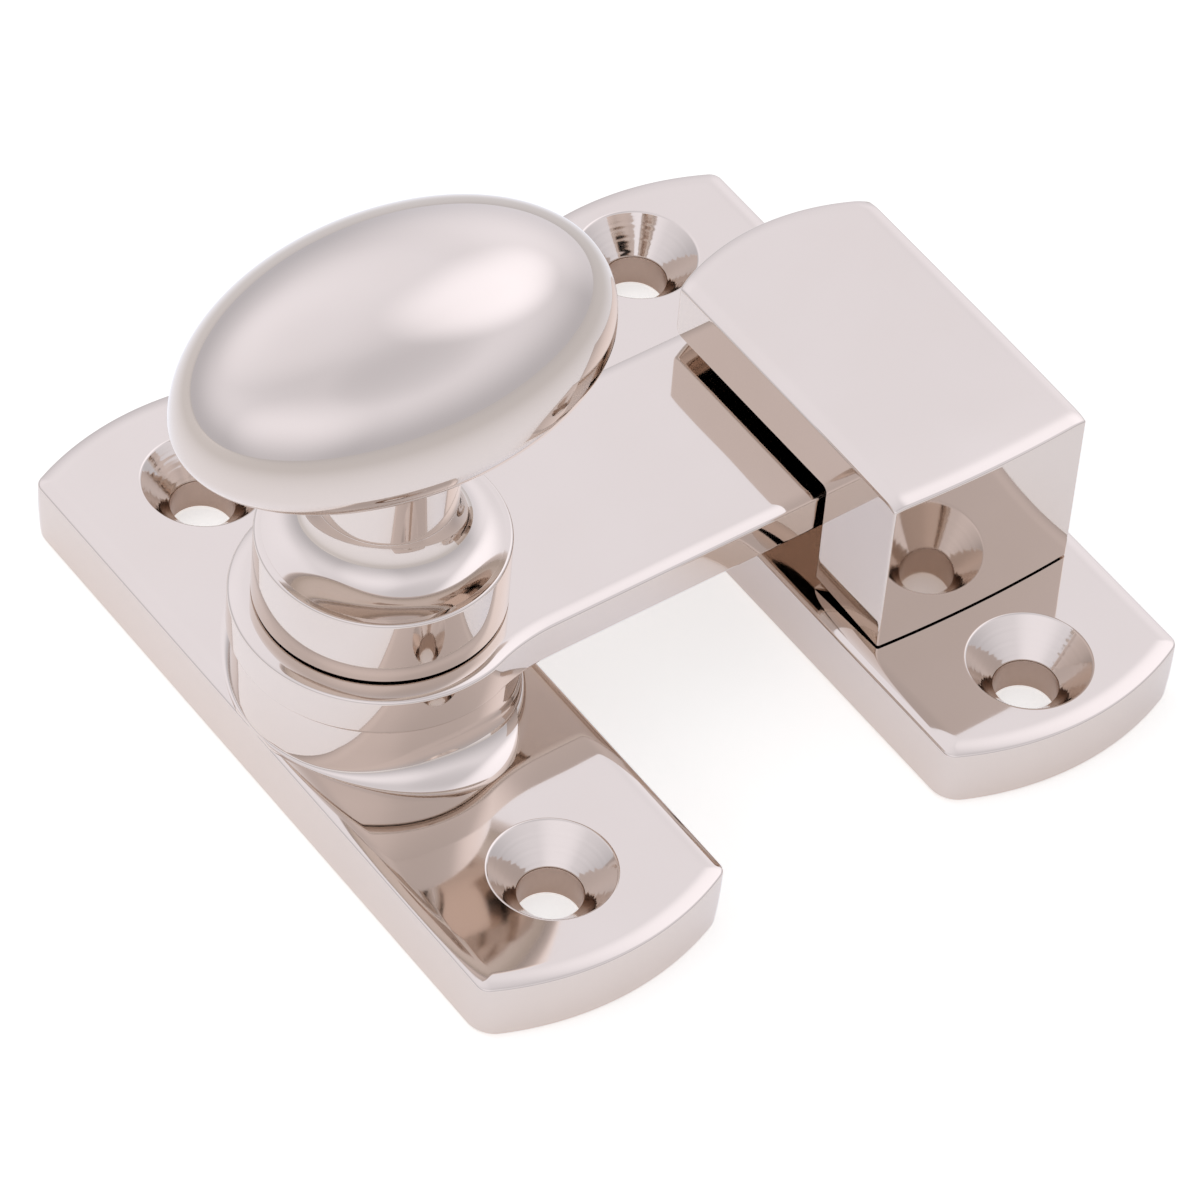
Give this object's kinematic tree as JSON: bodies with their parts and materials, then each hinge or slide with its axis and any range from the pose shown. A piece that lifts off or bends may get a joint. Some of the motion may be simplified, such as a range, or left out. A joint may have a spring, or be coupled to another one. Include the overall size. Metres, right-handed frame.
{
  "type": "cabinet latch",
  "caption": "Cabinet latch: an oval knob on a plate with curved ends turns a flat arm under the lip of a hook that stands on a matching keeper plate.",
  "frame": {"origin": "on the knob's axis, midway between the latch plate's screw holes, at the back face of the latch plate", "axes": "+X from the knob's axis to the keeper, +Y along the plates towards the hook's open side, +Z out of the plates along the knob's axis"},
  "size_m": [0.0618, 0.0562, 0.0416],
  "materials": {
    "polished_nickel": "bright polished nickel plate on brass",
    "washer_brass": "plain rolled brass",
    "plain_steel": "plain turned steel"
  },
  "bodies": {
    "base": {"latch_plate": "polished_nickel", "thrust_washer": "washer_brass", "keeper_plate": "polished_nickel", "keeper_hook": "polished_nickel", "hook_screws": "plain_steel"},
    "turn": {"latch_arm": "polished_nickel", "knob_base": "polished_nickel", "oval_knob": "polished_nickel", "spindle": "plain_steel", "spring_washer": "plain_steel", "retaining_washer": "plain_steel", "retaining_nut": "plain_steel"}
  },
  "joints": [
    {"name": "knob_turn", "type": "hinge", "parent": "base", "child": "turn", "pos_m": [0, 0, 0], "axis": [0, 0, 1], "range_deg": [0, 315]}
  ]
}
